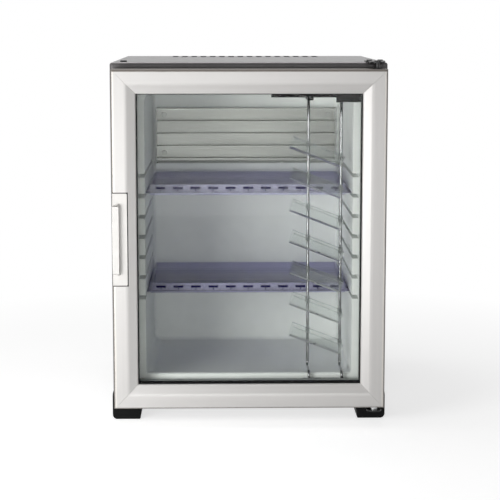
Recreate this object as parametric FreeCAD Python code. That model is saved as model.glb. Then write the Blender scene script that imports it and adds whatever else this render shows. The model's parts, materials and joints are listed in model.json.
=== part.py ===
"""Hotel minibar fridge with a framed glass door and an absorption cooling unit, in millimetres.

+Z is up and -Y is the front. The origin lies on the floor, under the middle of the whole fridge.
"""
import FreeCAD, Part
import math
import os

V = FreeCAD.Vector
ORIGIN = V(0, 0, 0)
ALONG_X = V(1, 0, 0)
ALONG_Y = V(0, 1, 0)
ALONG_Z = V(0, 0, 1)

# Driving dimensions of the cabinet
cabinet_width = 405.0
cabinet_top = 531.5
cabinet_depth = 396.0
unit_bay = 80.0
foot_height = 26.0
sheet = 0.8
lid_height = 12.5
lid_wall = 1.2

# Driving dimensions of the door
door_margin = 4.5
door_lift = 2.0
door_drop = 8.5
door_depth = 40.0
seal_gap = 9.0
handle_rise = 8.0
hinge_inset = 13.5

# Walls round the cold compartment
side_wall = 49.5
floor_wall = 37.0
ceiling_wall = 43.5
rear_wall = 44.0
liner_wall = 1.8
return_width = 32.0
base_return = 30.0
rail_return = 26.0

# Clearances
running_gap = 0.3
pin_clearance = 0.05
key_clearance = 0.15
pipe_clearance = 0.5
overrun = 5.0

# Stations worked out from the driving dimensions
cab_x = cabinet_width / 2
total_depth = handle_rise + door_depth + seal_gap + cabinet_depth
y_door = handle_rise - total_depth / 2
y_door_back = y_door + door_depth
y_cab = y_door_back + seal_gap
y_rear = y_cab + cabinet_depth
y_box = y_rear - unit_bay
y_liner = y_box - rear_wall
door_x = cab_x - door_margin
door_bottom = foot_height + door_lift
door_top = cabinet_top - door_drop
lid_bottom = cabinet_top - lid_height
lid_under = cabinet_top - lid_wall
liner_x = cab_x - side_wall
liner_floor = foot_height + floor_wall
liner_ceiling = cabinet_top - ceiling_wall
return_x = cab_x - return_width
flange_bottom = foot_height + base_return
flange_top = lid_bottom - rail_return
hinge_x = door_x - hinge_inset
hinge_y = y_door + door_depth / 2


def block(x, y, z):
    """A box between the low and high ends given for each axis."""
    return Part.makeBox(x[1] - x[0], y[1] - y[0], z[1] - z[0], V(x[0], y[0], z[0]))


def post(x, y, z, radius):
    """An upright cylinder between two heights."""
    return Part.makeCylinder(radius, z[1] - z[0], V(x, y, z[0]), ALONG_Z)


def bar_along_x(x, y, z, radius):
    return Part.makeCylinder(radius, x[1] - x[0], V(x[0], y, z), ALONG_X)


def bar_along_y(x, y, z, radius):
    return Part.makeCylinder(radius, y[1] - y[0], V(x, y[0], z), ALONG_Y)


def prism(points, direction):
    """A straight-sided outline pushed along a direction."""
    outline = Part.makePolygon(points + [points[0]])
    return Part.Face(outline).extrude(direction)


def mirrored(shape):
    """The same piece on the other side of the middle plane."""
    return shape.mirror(ORIGIN, ALONG_X)


def joined(shapes):
    return shapes[0].fuse(shapes[1:]).removeSplitter()


def edges_where(shape, direction, chosen):
    """Straight edges along a direction whose middle point passes the test."""
    found = []
    for edge in shape.Edges:
        if not isinstance(edge.Curve, (Part.Line, Part.LineSegment)):
            continue
        if abs(abs(edge.tangentAt(edge.FirstParameter).dot(direction)) - 1) > 1e-6:
            continue
        if chosen(edge.CenterOfMass):
            found.append(edge)
    return found


def same(a, b):
    return abs(a - b) < 1e-4


def bent_tube(points, radius, bend):
    """A round bar along straight runs that are joined by tangent arcs."""
    edges = []
    at = points[0]
    for before, corner, after in zip(points, points[1:], points[2:]):
        back = (before - corner).normalize()
        ahead = (after - corner).normalize()
        half_turn = (math.pi - back.getAngle(ahead)) / 2
        reach = bend * math.tan(half_turn)
        start = corner + back * reach
        end = corner + ahead * reach
        inward = (back + ahead).normalize()
        middle = corner + inward * (bend / math.cos(half_turn) - bend)
        edges.append(Part.LineSegment(at, start).toShape())
        edges.append(Part.Arc(start, middle, end).toShape())
        at = end
    edges.append(Part.LineSegment(at, points[-1]).toShape())
    first = (points[1] - points[0]).normalize()
    circle = Part.Wire([Part.makeCircle(radius, points[0], first)])
    return Part.Wire(edges).makePipeShell([circle], True, False)


# Top cover: a pressed lid with a row of vents at the back and a hem behind them
lid_round = 4.0
hem_height = 8.0
vent_count = 16
vent_pitch = 15.6
vent_width = 9.6
vent_length = 66.0
vent_margin = 6.0
vent_round = 2.4


def rounded_lid(x, y, z, radius):
    body = block((-x, x), y, z)
    edges = edges_where(body, ALONG_X, lambda p: same(p.z, z[1]) and same(p.y, y[0]))
    edges += edges_where(body, ALONG_Y, lambda p: same(p.z, z[1]))
    edges += edges_where(body, ALONG_Z, lambda p: same(p.y, y[0]))
    return body.makeFillet(radius, edges)


def vent_slots():
    slots = []
    first = -vent_pitch * (vent_count - 1) / 2
    back = y_rear - vent_margin
    for number in range(vent_count):
        x = first + vent_pitch * number
        slot = block(
            (x - vent_width / 2, x + vent_width / 2),
            (back - vent_length, back),
            (lid_bottom, cabinet_top + overrun),
        )
        slots.append(slot.makeFillet(vent_round, edges_where(slot, ALONG_Z, lambda p: True)))
    return slots


def top_cover():
    outer = rounded_lid(cab_x, (y_cab, y_rear), (lid_bottom, cabinet_top), lid_round)
    inner = rounded_lid(
        cab_x - lid_wall,
        (y_cab + lid_wall, y_rear + overrun),
        (lid_bottom - overrun, lid_under),
        lid_round - lid_wall,
    )
    hem = block(
        (lid_wall - cab_x, cab_x - lid_wall),
        (y_rear - lid_wall, y_rear),
        (lid_under - hem_height, lid_under),
    )
    return joined([outer.cut(inner), hem]).cut(vent_slots())


# Side panels: sheet steel, folded in at the front to carry the seal
fold_round = 3.0


def side_panel_right():
    outer = block((return_x, cab_x), (y_cab, y_rear), (foot_height, lid_bottom))
    corner = edges_where(outer, ALONG_Z, lambda p: same(p.x, cab_x) and same(p.y, y_cab))
    outer = outer.makeFillet(fold_round, corner)
    in_x = cab_x - sheet
    in_y = y_cab + sheet
    inner = block(
        (return_x - overrun, in_x),
        (in_y, y_rear + overrun),
        (foot_height - overrun, lid_bottom + overrun),
    )
    corner = edges_where(inner, ALONG_Z, lambda p: same(p.x, in_x) and same(p.y, in_y))
    return outer.cut(inner.makeFillet(fold_round - sheet, corner))


def inside_panels(back, z):
    """The space between the side panels, with its front corners rounded to their folds."""
    half = cab_x - sheet
    body = block((-half, half), (y_cab + sheet, back), z)
    corners = edges_where(body, ALONG_Z, lambda p: same(p.y, y_cab + sheet))
    return body.makeFillet(fold_round - sheet, corners)


def base_plate():
    floor = inside_panels(y_box, (foot_height, foot_height + sheet))
    front = block(
        (-return_x, return_x), (y_cab, y_cab + sheet), (foot_height, flange_bottom)
    )
    return joined([floor, front])


def front_rail():
    return block((-return_x, return_x), (y_cab, y_cab + sheet), (flange_top, lid_bottom))


def rear_panel(lid):
    half = cab_x - lid_wall
    return block((-half, half), (y_box, y_box + sheet), (foot_height, lid_under)).cut(lid)


# Inner liner: vacuum-formed, with shelf grooves and a raised sill
corner_round = 14.0
rear_round = 6.0
groove_count = 7
first_groove = 122.0
groove_height = 6.0
groove_depth = 9.5
groove_stop = 16.0
sill_height = 7.0
sill_depth = 14.0
sill_round = 4.0


def groove_height_at(number):
    return liner_floor + first_groove + groove_pitch * number


def liner_form(grow, front):
    """The compartment grown outwards by a wall; its front face stays open and square."""
    half = liner_x + grow
    back = y_liner + grow
    low = liner_floor - grow
    high = liner_ceiling + grow
    form = block((-half, half), (front, back), (low, high))
    form = form.makeFillet(corner_round + grow, edges_where(form, ALONG_Y, lambda p: True))
    rear = [e for e in form.Edges if same(e.BoundBox.YMin, back)]
    return form.makeFillet(rear_round + grow, rear)


def groove_forms(grow, front):
    """The shelf grooves on both sides, grown outwards by a wall."""
    forms = []
    back = y_liner - groove_stop + grow
    for number in range(groove_count):
        middle = groove_height_at(number)
        half_height = groove_height / 2 + grow
        right = block(
            (liner_x - groove_depth, liner_x + groove_depth + grow),
            (front, back),
            (middle - half_height, middle + half_height),
        )
        forms += [right, mirrored(right)]
    return forms


def liner_filled():
    """The liner's outside with the compartment still solid."""
    flange = block(
        (-return_x, return_x), (y_cab, y_cab + liner_wall), (flange_bottom, flange_top)
    )
    return joined([flange, liner_form(liner_wall, y_cab)] + groove_forms(liner_wall, y_cab))


def sill():
    bar = block(
        (-liner_x, liner_x),
        (y_cab, y_cab + sill_depth),
        (liner_floor - liner_wall / 2, liner_floor + sill_height),
    )
    crest = edges_where(bar, ALONG_X, lambda p: same(p.z, liner_floor + sill_height))
    return bar.makeFillet(sill_round, crest)


def inner_liner(filled):
    hollow = liner_form(0, y_cab - overrun)
    shell = filled.cut([hollow] + groove_forms(0, y_cab - overrun))
    return joined([shell, sill().common(joined([hollow, filled]))])


def insulation_foam(filled, neighbours):
    main = inside_panels(y_box, (foot_height + sheet, lid_bottom))
    upper = rounded_lid(
        cab_x - lid_wall, (y_cab + lid_wall, y_box), (lid_bottom, lid_under), lid_round - lid_wall
    )
    return joined([main, upper]).cut([filled] + neighbours)


# Screws: one pan-head size for the whole cabinet
screw_radius = 2.0
screw_length = 12.0
screw_head_radius = 4.2
screw_head_height = 1.5
screw_head_round = 0.8


def screw(seat, inward):
    """A pan-head screw whose head sits on a face at the seat and whose shank goes inward."""
    head = Part.makeCylinder(screw_head_radius, screw_head_height, seat, inward * -1)
    crown = [e for e in head.Edges if same(e.CenterOfMass.distanceToPoint(seat), screw_head_height)]
    rounded = [e for e in crown if isinstance(e.Curve, Part.Circle)]
    head = head.makeFillet(screw_head_round, rounded)
    return joined([head, Part.makeCylinder(screw_radius, screw_length, seat, inward)])


# Shelves: clear mouldings that slide in the grooves
shelf_setback = 62.0
shelf_back_gap = 10.0
shelf_thickness = 4.0
shelf_lip = 9.0
shelf_lip_width = 3.0
shelf_rim_inset = 4.0
shelf_slot_margin = 3.0
shelf_slot_share = 0.56
shelf_slot_height = 3.4
shelf_slot_depth = 2.0
shelf_slot_drop = 3.6
shelf_slit_width = 1.2
shelf_slit_height = 3.4
shelf_slot_count = 11
shelf_rib_height = 5.0
shelf_rib_width = 2.0
shelf_rib_inset = 20.0
shelf_slot_row = 2 * (liner_x - shelf_rim_inset - shelf_slot_margin)
shelf_slot_pitch = shelf_slot_row / shelf_slot_count
shelf_slot_length = shelf_slot_pitch * shelf_slot_share


def shelf(groove_number):
    half = liner_x - running_gap
    tongue_half = liner_x + groove_depth - running_gap
    rim_half = liner_x - shelf_rim_inset
    front = y_cab + shelf_setback
    back = y_liner - shelf_back_gap
    groove_end = y_liner - groove_stop - running_gap
    low = groove_height_at(groove_number) - groove_height / 2 + running_gap
    top = low + shelf_thickness
    pieces = [
        block((-half, half), (front, back), (low, top)),
        block((-tongue_half, tongue_half), (front, groove_end), (low, top)),
    ]
    pieces.append(
        block((-rim_half, rim_half), (front, front + shelf_lip_width), (low, top + shelf_lip))
    )
    pieces.append(
        block((-rim_half, rim_half), (back - shelf_lip_width, back), (low, top + shelf_lip))
    )
    side = block(
        (rim_half - shelf_lip_width, rim_half), (front, back), (low, top + shelf_lip)
    )
    pieces += [side, mirrored(side)]
    rib_front = front + shelf_rib_inset
    for rib_y in (rib_front, (rib_front + back) / 2, back - shelf_rib_inset):
        pieces.append(
            block(
                (-rim_half, rim_half),
                (rib_y - shelf_rib_width / 2, rib_y + shelf_rib_width / 2),
                (low - shelf_rib_height, low),
            )
        )
    slots = []
    first = -shelf_slot_pitch * (shelf_slot_count - 1) / 2
    slot_top = top + shelf_lip - shelf_slot_drop
    for number in range(shelf_slot_count):
        slots.append(shelf_slot(first + shelf_slot_pitch * number, front, slot_top))
    return joined(pieces).cut(slots)


def shelf_slot(x, front, top):
    """A slot in the face of the front lip, with a short slit down from its middle."""
    y = (front - overrun, front + shelf_slot_depth)
    bottom = top - shelf_slot_height
    slot = block((x - shelf_slot_length / 2, x + shelf_slot_length / 2), y, (bottom, top))
    slit_x = (x - shelf_slit_width / 2, x + shelf_slit_width / 2)
    return joined([slot, block(slit_x, y, (bottom - shelf_slit_height, bottom))])


# Evaporator: a ribbed aluminium plate on the back wall, with a drip tray under it
evaporator_drop = 38.0
evaporator_height = 84.0
evaporator_plate_depth = 5.0
evaporator_rib_depth = 14.0
evaporator_rib_width = 3.0
evaporator_rib_count = 4
evaporator_margin = 1.0
evaporator_screw_inset = 12.0
tray_drop = 4.0
tray_height = 10.0
tray_depth = 30.0
tray_wall = 1.6
spout_x = 60.0
spout_radius = 5.0
spout_bore = 3.4
spout_reach = 10.0
evaporator_x = liner_x - rear_round - evaporator_margin
evaporator_top = liner_ceiling - evaporator_drop
evaporator_z = (evaporator_top - evaporator_height, evaporator_top)
evaporator_middle = evaporator_top - evaporator_height / 2
tray_top = evaporator_z[0] - tray_drop
tray_bottom = tray_top - tray_height

# Grooves spaced so that the upper shelf runs clear under the drip tray
lower_groove = 0
upper_groove = 5
shelf_headroom = 16.0
groove_rise = tray_bottom - shelf_headroom - liner_floor - first_groove
groove_pitch = groove_rise / upper_groove


def evaporator_screw_seats():
    y = y_liner - evaporator_plate_depth
    x = evaporator_x - evaporator_screw_inset
    rib_step = evaporator_height / evaporator_rib_count
    heights = (evaporator_z[0] + rib_step / 2, evaporator_z[1] - rib_step / 2)
    return [V(side * x, y, z) for side in (-1, 1) for z in heights]


def evaporator_plate():
    pieces = [
        block((-evaporator_x, evaporator_x), (y_liner - evaporator_plate_depth, y_liner), evaporator_z)
    ]
    step = evaporator_height / evaporator_rib_count
    for number in range(evaporator_rib_count + 1):
        low = evaporator_z[0] + (step * number) - evaporator_rib_width * number / evaporator_rib_count
        pieces.append(
            block(
                (-evaporator_x, evaporator_x),
                (y_liner - evaporator_plate_depth - evaporator_rib_depth, y_liner),
                (low, low + evaporator_rib_width),
            )
        )
    return joined(pieces)


def drip_tray():
    front = y_liner - tray_depth
    trough = block((-evaporator_x, evaporator_x), (front, y_liner), (tray_bottom, tray_top))
    hollow = block(
        (tray_wall - evaporator_x, evaporator_x - tray_wall),
        (front + tray_wall, y_liner - tray_wall),
        (tray_bottom + tray_wall, tray_top + overrun),
    )
    spout_z = tray_bottom + spout_radius
    spout = bar_along_y(spout_x, (y_liner, y_box + sheet + spout_reach), spout_z, spout_radius)
    bore = bar_along_y(
        spout_x,
        (y_liner - tray_wall - overrun, y_box + sheet + spout_reach + overrun),
        spout_z,
        spout_bore,
    )
    return joined([trough.cut(hollow), spout]).cut(bore)


def spout_hole():
    spout_z = tray_bottom + spout_radius
    return bar_along_y(
        spout_x, (y_liner - overrun / 2, y_box + overrun), spout_z, spout_radius + pipe_clearance
    ).cut(block((-cab_x, cab_x), (y_cab, y_liner), (foot_height, cabinet_top)))


# Feet: black mouldings under the four corners, each with a cheek up the cabinet's side
foot_width = 43.0
foot_depth = 50.0
foot_taper = 3.0
foot_round = 7.0
foot_edge_round = 2.0
foot_step = 1.0
foot_step_height = 15.0
cheek_wall = 1.4
cheek_rise = 13.0
cheek_round = 6.0
foot_screw_recess = 4.6
foot_screw_floor = 6.0
foot_screw_inset = 18.0


def foot_right(front):
    outside = cab_x + cheek_wall
    cheek_top = foot_height + cheek_rise
    outline = [
        V(cab_x - foot_width, front, foot_height),
        V(cab_x, front, foot_height),
        V(cab_x, front, cheek_top),
        V(outside, front, cheek_top),
        V(outside, front, 0),
        V(cab_x - foot_width + foot_taper, front, 0),
    ]
    body = prism(outline, ALONG_Y * foot_depth)
    outer = edges_where(body, ALONG_Y, lambda p: same(p.z, 0) and same(p.x, outside))
    body = body.makeFillet(foot_round, outer)
    inner = edges_where(body, ALONG_Y, lambda p: same(p.z, 0) and p.x < cab_x - foot_width / 2)
    body = body.makeFillet(foot_edge_round, inner)
    crest = edges_where(body, ALONG_X, lambda p: same(p.z, cheek_top))
    body = body.makeFillet(cheek_round, crest)
    step = block(
        (cab_x - foot_width - overrun, cab_x - foot_round),
        (front - overrun, front + foot_step),
        (foot_step_height, foot_height + overrun),
    )
    seat = foot_screw_seat(front)
    recess = post(seat.x, seat.y, (-overrun, seat.z), foot_screw_recess)
    return body.cut([step, recess])


def foot_screw_seat(front):
    x = hinge_x - foot_screw_inset / 2
    return V(x, front + foot_depth / 2, foot_height - foot_screw_floor)


def foot_screws():
    """One screw up through each foot into the base plate."""
    shapes = []
    for front in (y_cab, y_box - foot_depth):
        right = screw(foot_screw_seat(front), ALONG_Z)
        shapes += [right, mirrored(right)]
    return shapes


# Hinges: a plate on the lid and a bracket under the door, each with a steel pin
hinge_plate = 2.2
hinge_arm_radius = 11.0
hinge_pad_reach = 27.0
hinge_pad_width = 28.0
hinge_screw_spacing = 16.0
hinge_screw_inset = 14.0
pin_radius = 3.0
pin_engagement = 12.0
pin_head_radius = 5.0
pin_head_height = 1.2
bush_radius = 5.5
bush_length = 13.0
bush_flange_radius = 7.5
bush_flange = 1.5
bracket_drop = 4.5
bracket_reach = 12.0
plug_radius = 5.0
plug_height = 1.8
plug_stem_radius = 2.5
plug_setback = 40.0
plug_dome = 0.8


def upper_hinge_plate():
    z = (cabinet_top, cabinet_top + hinge_plate)
    arm = block((hinge_x - hinge_arm_radius, hinge_x + hinge_arm_radius), (hinge_y, y_cab), z)
    nose = post(hinge_x, hinge_y, z, hinge_arm_radius)
    pad = block(
        (hinge_x - hinge_pad_width / 2, hinge_x + hinge_pad_width / 2),
        (y_cab, y_cab + hinge_pad_reach),
        z,
    )
    body = joined([arm, nose, pad])
    return body.cut(post(hinge_x, hinge_y, (z[0] - overrun, z[1] + overrun), pin_radius))


def upper_hinge_pin():
    top = cabinet_top + hinge_plate
    shank = post(hinge_x, hinge_y, (door_top - pin_engagement, top), pin_radius)
    head = post(hinge_x, hinge_y, (top, top + pin_head_height), pin_head_radius)
    return joined([shank, head])


def hinge_screws():
    y = y_cab + hinge_screw_inset
    z = cabinet_top + hinge_plate
    half = hinge_screw_spacing / 2
    return [screw(V(hinge_x + side * half, y, z), ALONG_Z * -1) for side in (-1, 1)]


bracket_top = foot_height - bracket_drop


def lower_hinge_bracket():
    z = (bracket_top - hinge_plate, bracket_top)
    arm = block(
        (hinge_x - hinge_arm_radius, hinge_x + hinge_arm_radius), (hinge_y, y_cab + bracket_reach), z
    )
    body = joined([arm, post(hinge_x, hinge_y, z, hinge_arm_radius)])
    return body.cut(post(hinge_x, hinge_y, (z[0] - overrun, z[1] + overrun), pin_radius))


def lower_hinge_pin():
    low = bracket_top - hinge_plate
    shank = post(hinge_x, hinge_y, (low, door_bottom + pin_engagement), pin_radius)
    collar_top = door_bottom - bush_flange - running_gap
    collar = post(hinge_x, hinge_y, (bracket_top, collar_top), pin_head_radius)
    return joined([shank, collar])


def hinge_bush(low, high, flange_low, flange_high):
    body = joined(
        [
            post(hinge_x, hinge_y, (low, high), bush_radius),
            post(hinge_x, hinge_y, (flange_low, flange_high), bush_flange_radius),
        ]
    )
    bore = post(hinge_x, hinge_y, (low - overrun, high + overrun), pin_radius + pin_clearance)
    return body.cut(bore)


def bush_holes():
    """The holes in the rails and corner keys that the two bushes fill."""
    return [
        post(hinge_x, hinge_y, (door_top - bush_length, door_top), bush_radius),
        post(hinge_x, hinge_y, (door_bottom, door_bottom + bush_length), bush_radius),
    ]


def upper_hinge_bush():
    return hinge_bush(door_top - bush_length, door_top, door_top, door_top + bush_flange)


def lower_hinge_bush():
    return hinge_bush(door_bottom, door_bottom + bush_length, door_bottom - bush_flange, door_bottom)


def top_plugs():
    """Black caps in the lid's spare holes, one near each front corner."""
    shapes = []
    y = y_cab + plug_setback
    cap = post(hinge_x, y, (cabinet_top, cabinet_top + plug_height), plug_radius)
    crown = [e for e in cap.Edges if same(e.CenterOfMass.z, cabinet_top + plug_height)]
    rounded = [e for e in crown if isinstance(e.Curve, Part.Circle)]
    cap = cap.makeFillet(plug_dome, rounded)
    stem = post(hinge_x, y, (lid_under - lid_wall, cabinet_top), plug_stem_radius)
    right = joined([cap, stem])
    shapes += [right, mirrored(right)]
    return shapes


# Door frame: hollow aluminium rails, mitred at the corners
rail_width = 35.0
rail_wall = 1.8
rail_edge_round = 3.0
rail_flat = 21.0
rail_blend = 2.5
rail_bevel_drop = 6.0
rail_lip = 1.2
rail_seat = 10.5
chamber_width = 25.0
mitre_seam = 0.3
key_leg = 38.0


def rail_outline(place):
    """The rail's cross-section, from its outer edge (u) inwards and from its front (v) backwards."""
    slope_run = rail_width - rail_lip - rail_flat
    slope = math.atan2(rail_bevel_drop, slope_run)
    blend_end_u = rail_flat + rail_blend * math.cos(slope)
    blend_end_v = rail_blend * math.sin(slope)
    turn = rail_edge_round * (1 - math.cos(math.pi / 4))
    half_slope = slope / 2
    blend_radius = rail_blend / math.tan(half_slope)
    sag = blend_radius / math.cos(half_slope) - blend_radius
    points = {
        "back_outer": place(0, door_depth),
        "edge_start": place(0, rail_edge_round),
        "edge_middle": place(turn, turn),
        "edge_end": place(rail_edge_round, 0),
        "blend_start": place(rail_flat - rail_blend, 0),
        "blend_middle": place(
            rail_flat - sag * math.sin(half_slope), sag * math.cos(half_slope)
        ),
        "blend_end": place(blend_end_u, blend_end_v),
        "lip_start": place(rail_width - rail_lip, rail_bevel_drop),
        "lip_end": place(rail_width, rail_bevel_drop + rail_lip),
        "seat_inner": place(rail_width, rail_seat),
        "seat_outer": place(chamber_width, rail_seat),
        "back_inner": place(chamber_width, door_depth),
    }
    edges = [
        Part.LineSegment(points["back_outer"], points["edge_start"]),
        Part.Arc(points["edge_start"], points["edge_middle"], points["edge_end"]),
        Part.LineSegment(points["edge_end"], points["blend_start"]),
        Part.Arc(points["blend_start"], points["blend_middle"], points["blend_end"]),
        Part.LineSegment(points["blend_end"], points["lip_start"]),
        Part.LineSegment(points["lip_start"], points["lip_end"]),
        Part.LineSegment(points["lip_end"], points["seat_inner"]),
        Part.LineSegment(points["seat_inner"], points["seat_outer"]),
        Part.LineSegment(points["seat_outer"], points["back_inner"]),
        Part.LineSegment(points["back_inner"], points["back_outer"]),
    ]
    return Part.Face(Part.Wire([e.toShape() for e in edges]))


def chamber_outline(place):
    low = rail_wall
    high = chamber_width - rail_wall
    back = door_depth - rail_wall
    corners = [place(low, low), place(high, low), place(high, back), place(low, back)]
    return Part.Face(Part.makePolygon(corners + corners[:1]))


def mitre_limits(half_x, low, high, reach, seam):
    """Four wedges that cut a picture frame at its corners, with a seam between neighbours."""
    front = y_door - overrun
    deep = ALONG_Y * (door_depth + seal_gap + overrun + overrun)
    left = [
        V(-half_x, front, low + seam),
        V(reach - half_x, front, low + reach + seam),
        V(reach - half_x, front, high - reach - seam),
        V(-half_x, front, high - seam),
    ]
    bottom = [
        V(seam - half_x, front, low),
        V(half_x - seam, front, low),
        V(half_x - reach - seam, front, low + reach),
        V(reach + seam - half_x, front, low + reach),
    ]
    top = [V(p.x, p.y, low + high - p.z) for p in bottom]
    wedges = {"left": prism(left, deep), "bottom": prism(bottom, deep), "top": prism(top, deep)}
    wedges["right"] = mirrored(wedges["left"])
    return wedges


def door_rails():
    places = {
        "left": lambda u, v: V(u - door_x, y_door + v, door_bottom),
        "right": lambda u, v: V(door_x - u, y_door + v, door_bottom),
        "bottom": lambda u, v: V(-door_x, y_door + v, door_bottom + u),
        "top": lambda u, v: V(-door_x, y_door + v, door_top - u),
    }
    upright = ALONG_Z * (door_top - door_bottom)
    level = ALONG_X * (door_x + door_x)
    along = {"left": upright, "right": upright, "bottom": level, "top": level}
    wedges = mitre_limits(door_x, door_bottom, door_top, rail_width + overrun, mitre_seam / 2)
    rails = {}
    for side, place in places.items():
        hollow = rail_outline(place).cut(chamber_outline(place))
        rails[side] = hollow.extrude(along[side]).common(wedges[side])
    return rails


def frame_strips(inset, width, front, depth, seam):
    """Four mitred strips of one rectangular section, set in from the door's edge."""
    half_x = door_x - inset
    low = door_bottom + inset
    high = door_top - inset
    y = (front, front + depth)
    bars = {
        "left": block((-half_x, width - half_x), y, (low, high)),
        "right": block((half_x - width, half_x), y, (low, high)),
        "bottom": block((-half_x, half_x), y, (low, low + width)),
        "top": block((-half_x, half_x), y, (high - width, high)),
    }
    wedges = mitre_limits(half_x, low, high, width + overrun, seam)
    return [bars[side].common(wedges[side]) for side in bars]


def frame_ring(inset, width, front, depth):
    """One closed rectangular ring, set in from the door's edge."""
    half_x = door_x - inset
    low = door_bottom + inset
    high = door_top - inset
    outer = block((-half_x, half_x), (front, front + depth), (low, high))
    inner = block(
        (width - half_x, half_x - width),
        (front - overrun, front + depth + overrun),
        (low + width, high - width),
    )
    return outer.cut(inner)


def corner_keys():
    """Angle pieces in the rails' chambers that hold the four corners together."""
    inset = rail_wall + key_clearance
    wide = chamber_width - rail_wall - key_clearance
    y = (y_door + inset, y_door_back - inset)
    level = block(
        (door_x - inset - key_leg, door_x - inset), y, (door_bottom + inset, door_bottom + wide)
    )
    upright = block(
        (door_x - wide, door_x - inset), y, (door_bottom + inset, door_bottom + inset + key_leg)
    )
    lower = joined([level, upright])
    middle = V(0, 0, (door_bottom + door_top) / 2)
    upper = lower.mirror(middle, ALONG_Z)
    return [lower, upper, mirrored(lower), mirrored(upper)]


# Glazing: two panes, a spacer, the front gasket and the inner beads
pane_inset = 27.0
pane_thickness = 4.0
gasket_show = 1.2
gasket_width = 6.5
gasket_thickness = 1.5
spacer_inset = 28.0
spacer_show = 1.0
spacer_depth = 10.0
bead_show = 0.5
seal_width = 12.0
gasket_inset = rail_width + gasket_show - gasket_width
spacer_width = rail_width + spacer_show - spacer_inset
bead_width = rail_width + bead_show - chamber_width
outer_pane_y = y_door + rail_seat + gasket_thickness
spacer_y = outer_pane_y + pane_thickness
inner_pane_y = spacer_y + spacer_depth
bead_y = inner_pane_y + pane_thickness


def pane(front):
    half = door_x - pane_inset
    return block(
        (-half, half),
        (front, front + pane_thickness),
        (door_bottom + pane_inset, door_top - pane_inset),
    )


def glazing_gasket():
    return frame_ring(gasket_inset, gasket_width, y_door + rail_seat, gasket_thickness)


def glass_spacer():
    return frame_ring(spacer_inset, spacer_width, spacer_y, spacer_depth)


def glazing_beads():
    return frame_strips(chamber_width, bead_width, bead_y, y_door_back - bead_y, 0)


def door_seal():
    return frame_strips(hinge_inset, seal_width, y_door_back, seal_gap - running_gap, 0)


# Handle: a plate let into the left rail with a hooked grip
handle_height = 134.0
handle_width = 21.0
handle_plate = 1.4
handle_sink = 1.2
handle_seam = 1.4
handle_round = 1.5
handle_edge = 0.6
handle_lift = 3.0
handle_middle = (door_bottom + door_top) / 2 + handle_lift
grip_height = 105.0
grip_width = 10.0
grip_wall = 2.4
grip_taper = 4.0
grip_soft = 0.8


def handle_pocket():
    """The pocket in the left rail, open at the door's edge and a seam wider than the plate."""
    half = handle_height / 2 + handle_seam
    return block(
        (-door_x - overrun, handle_edge - door_x + handle_width + handle_seam),
        (y_door - overrun, y_door + handle_sink),
        (handle_middle - half, handle_middle + half),
    )


def door_handle():
    left = handle_edge - door_x
    middle = handle_middle
    floor = y_door + handle_sink
    face = floor - handle_plate
    plate = block(
        (left, left + handle_width),
        (face, floor),
        (middle - handle_height / 2, middle + handle_height / 2),
    )
    plate = plate.makeFillet(handle_round, edges_where(plate, ALONG_Y, lambda p: p.x > left))
    front = y_door - handle_rise
    low = middle - grip_height / 2
    high = middle + grip_height / 2
    grip = prism(
        [
            V(left, front, low + grip_taper),
            V(left, face, low),
            V(left, face, high),
            V(left, front, high - grip_taper),
        ],
        ALONG_X * grip_width,
    )
    rim = edges_where(grip, ALONG_Z, lambda p: same(p.y, front))
    grip = grip.makeFillet(grip_soft, rim)
    finger_gap = block(
        (left - overrun, left + grip_width - grip_wall),
        (front + grip_wall, face),
        (low - overrun, high + overrun),
    )
    return joined([plate, grip.cut(finger_gap)])


# Bottle rack on the inside of the door: two rods and a column of tilted cradles
rack_inset = 39.0
rod_spacing = 49.0
rod_radius = 2.0
rod_setback = 40.0
rod_bend = 6.0
rod_foot_floor = 2.0
cradle_count = 7
first_cradle = 62.0
last_cradle_drop = 81.0
cradle_offset = 10.5
cradle_length = 80.0
cradle_radius = 18.0
cradle_wall = 1.6
cradle_tilt = 21.0
lug_width = 9.0
lug_height = 8.0
lug_rise = 1.0
lug_sink = 1.2
lug_back = 3.0
bracket_depth = 6.0
bracket_overlap = 3.5
bracket_length = 134.0
bracket_box_length = 39.0
bracket_box_depth = 7.5
bracket_bar_drop = 7.0
bracket_box_drop = 14.0
bracket_seat = 9.0
foot_bar_drop = 0.5
arm_width = 9.0
arm_height = 9.0
arm_headroom = 2.0
rack_x = liner_x - rack_inset
rod_x = (rack_x - rod_spacing / 2, rack_x + rod_spacing / 2)
cradle_x = rack_x - cradle_offset
bracket_right = door_x - rail_width + bracket_overlap
bracket_left = bracket_right - bracket_length
bracket_box_left = bracket_right - bracket_box_length
rod_y = y_cab + rod_setback
cradle_rise = liner_ceiling - liner_floor - first_cradle - last_cradle_drop
cradle_pitch = cradle_rise / (cradle_count - 1)
cradle_y = rod_y - rod_radius - cradle_radius - lug_sink
aperture_top = door_top - rail_width
aperture_bottom = door_bottom + rail_width
arm_top = min(aperture_top, liner_ceiling - arm_headroom) - running_gap
rod_top = arm_top - running_gap
rod_run = liner_floor + sill_height + running_gap + running_gap + rod_radius
foot_bar_low = aperture_bottom - bracket_seat
bracket_y = (y_door_back, y_door_back + bracket_depth)


def rack_rod(x):
    """A rod that stands behind the cradles and steps over the sill to a foot on the door."""
    foot_y = (bracket_y[0] + bracket_y[1]) / 2
    points = [
        V(x, rod_y, rod_top),
        V(x, rod_y, rod_run),
        V(x, foot_y, rod_run),
        V(x, foot_y, foot_bar_low + rod_foot_floor),
    ]
    return bent_tube(points, rod_radius, rod_bend)


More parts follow.
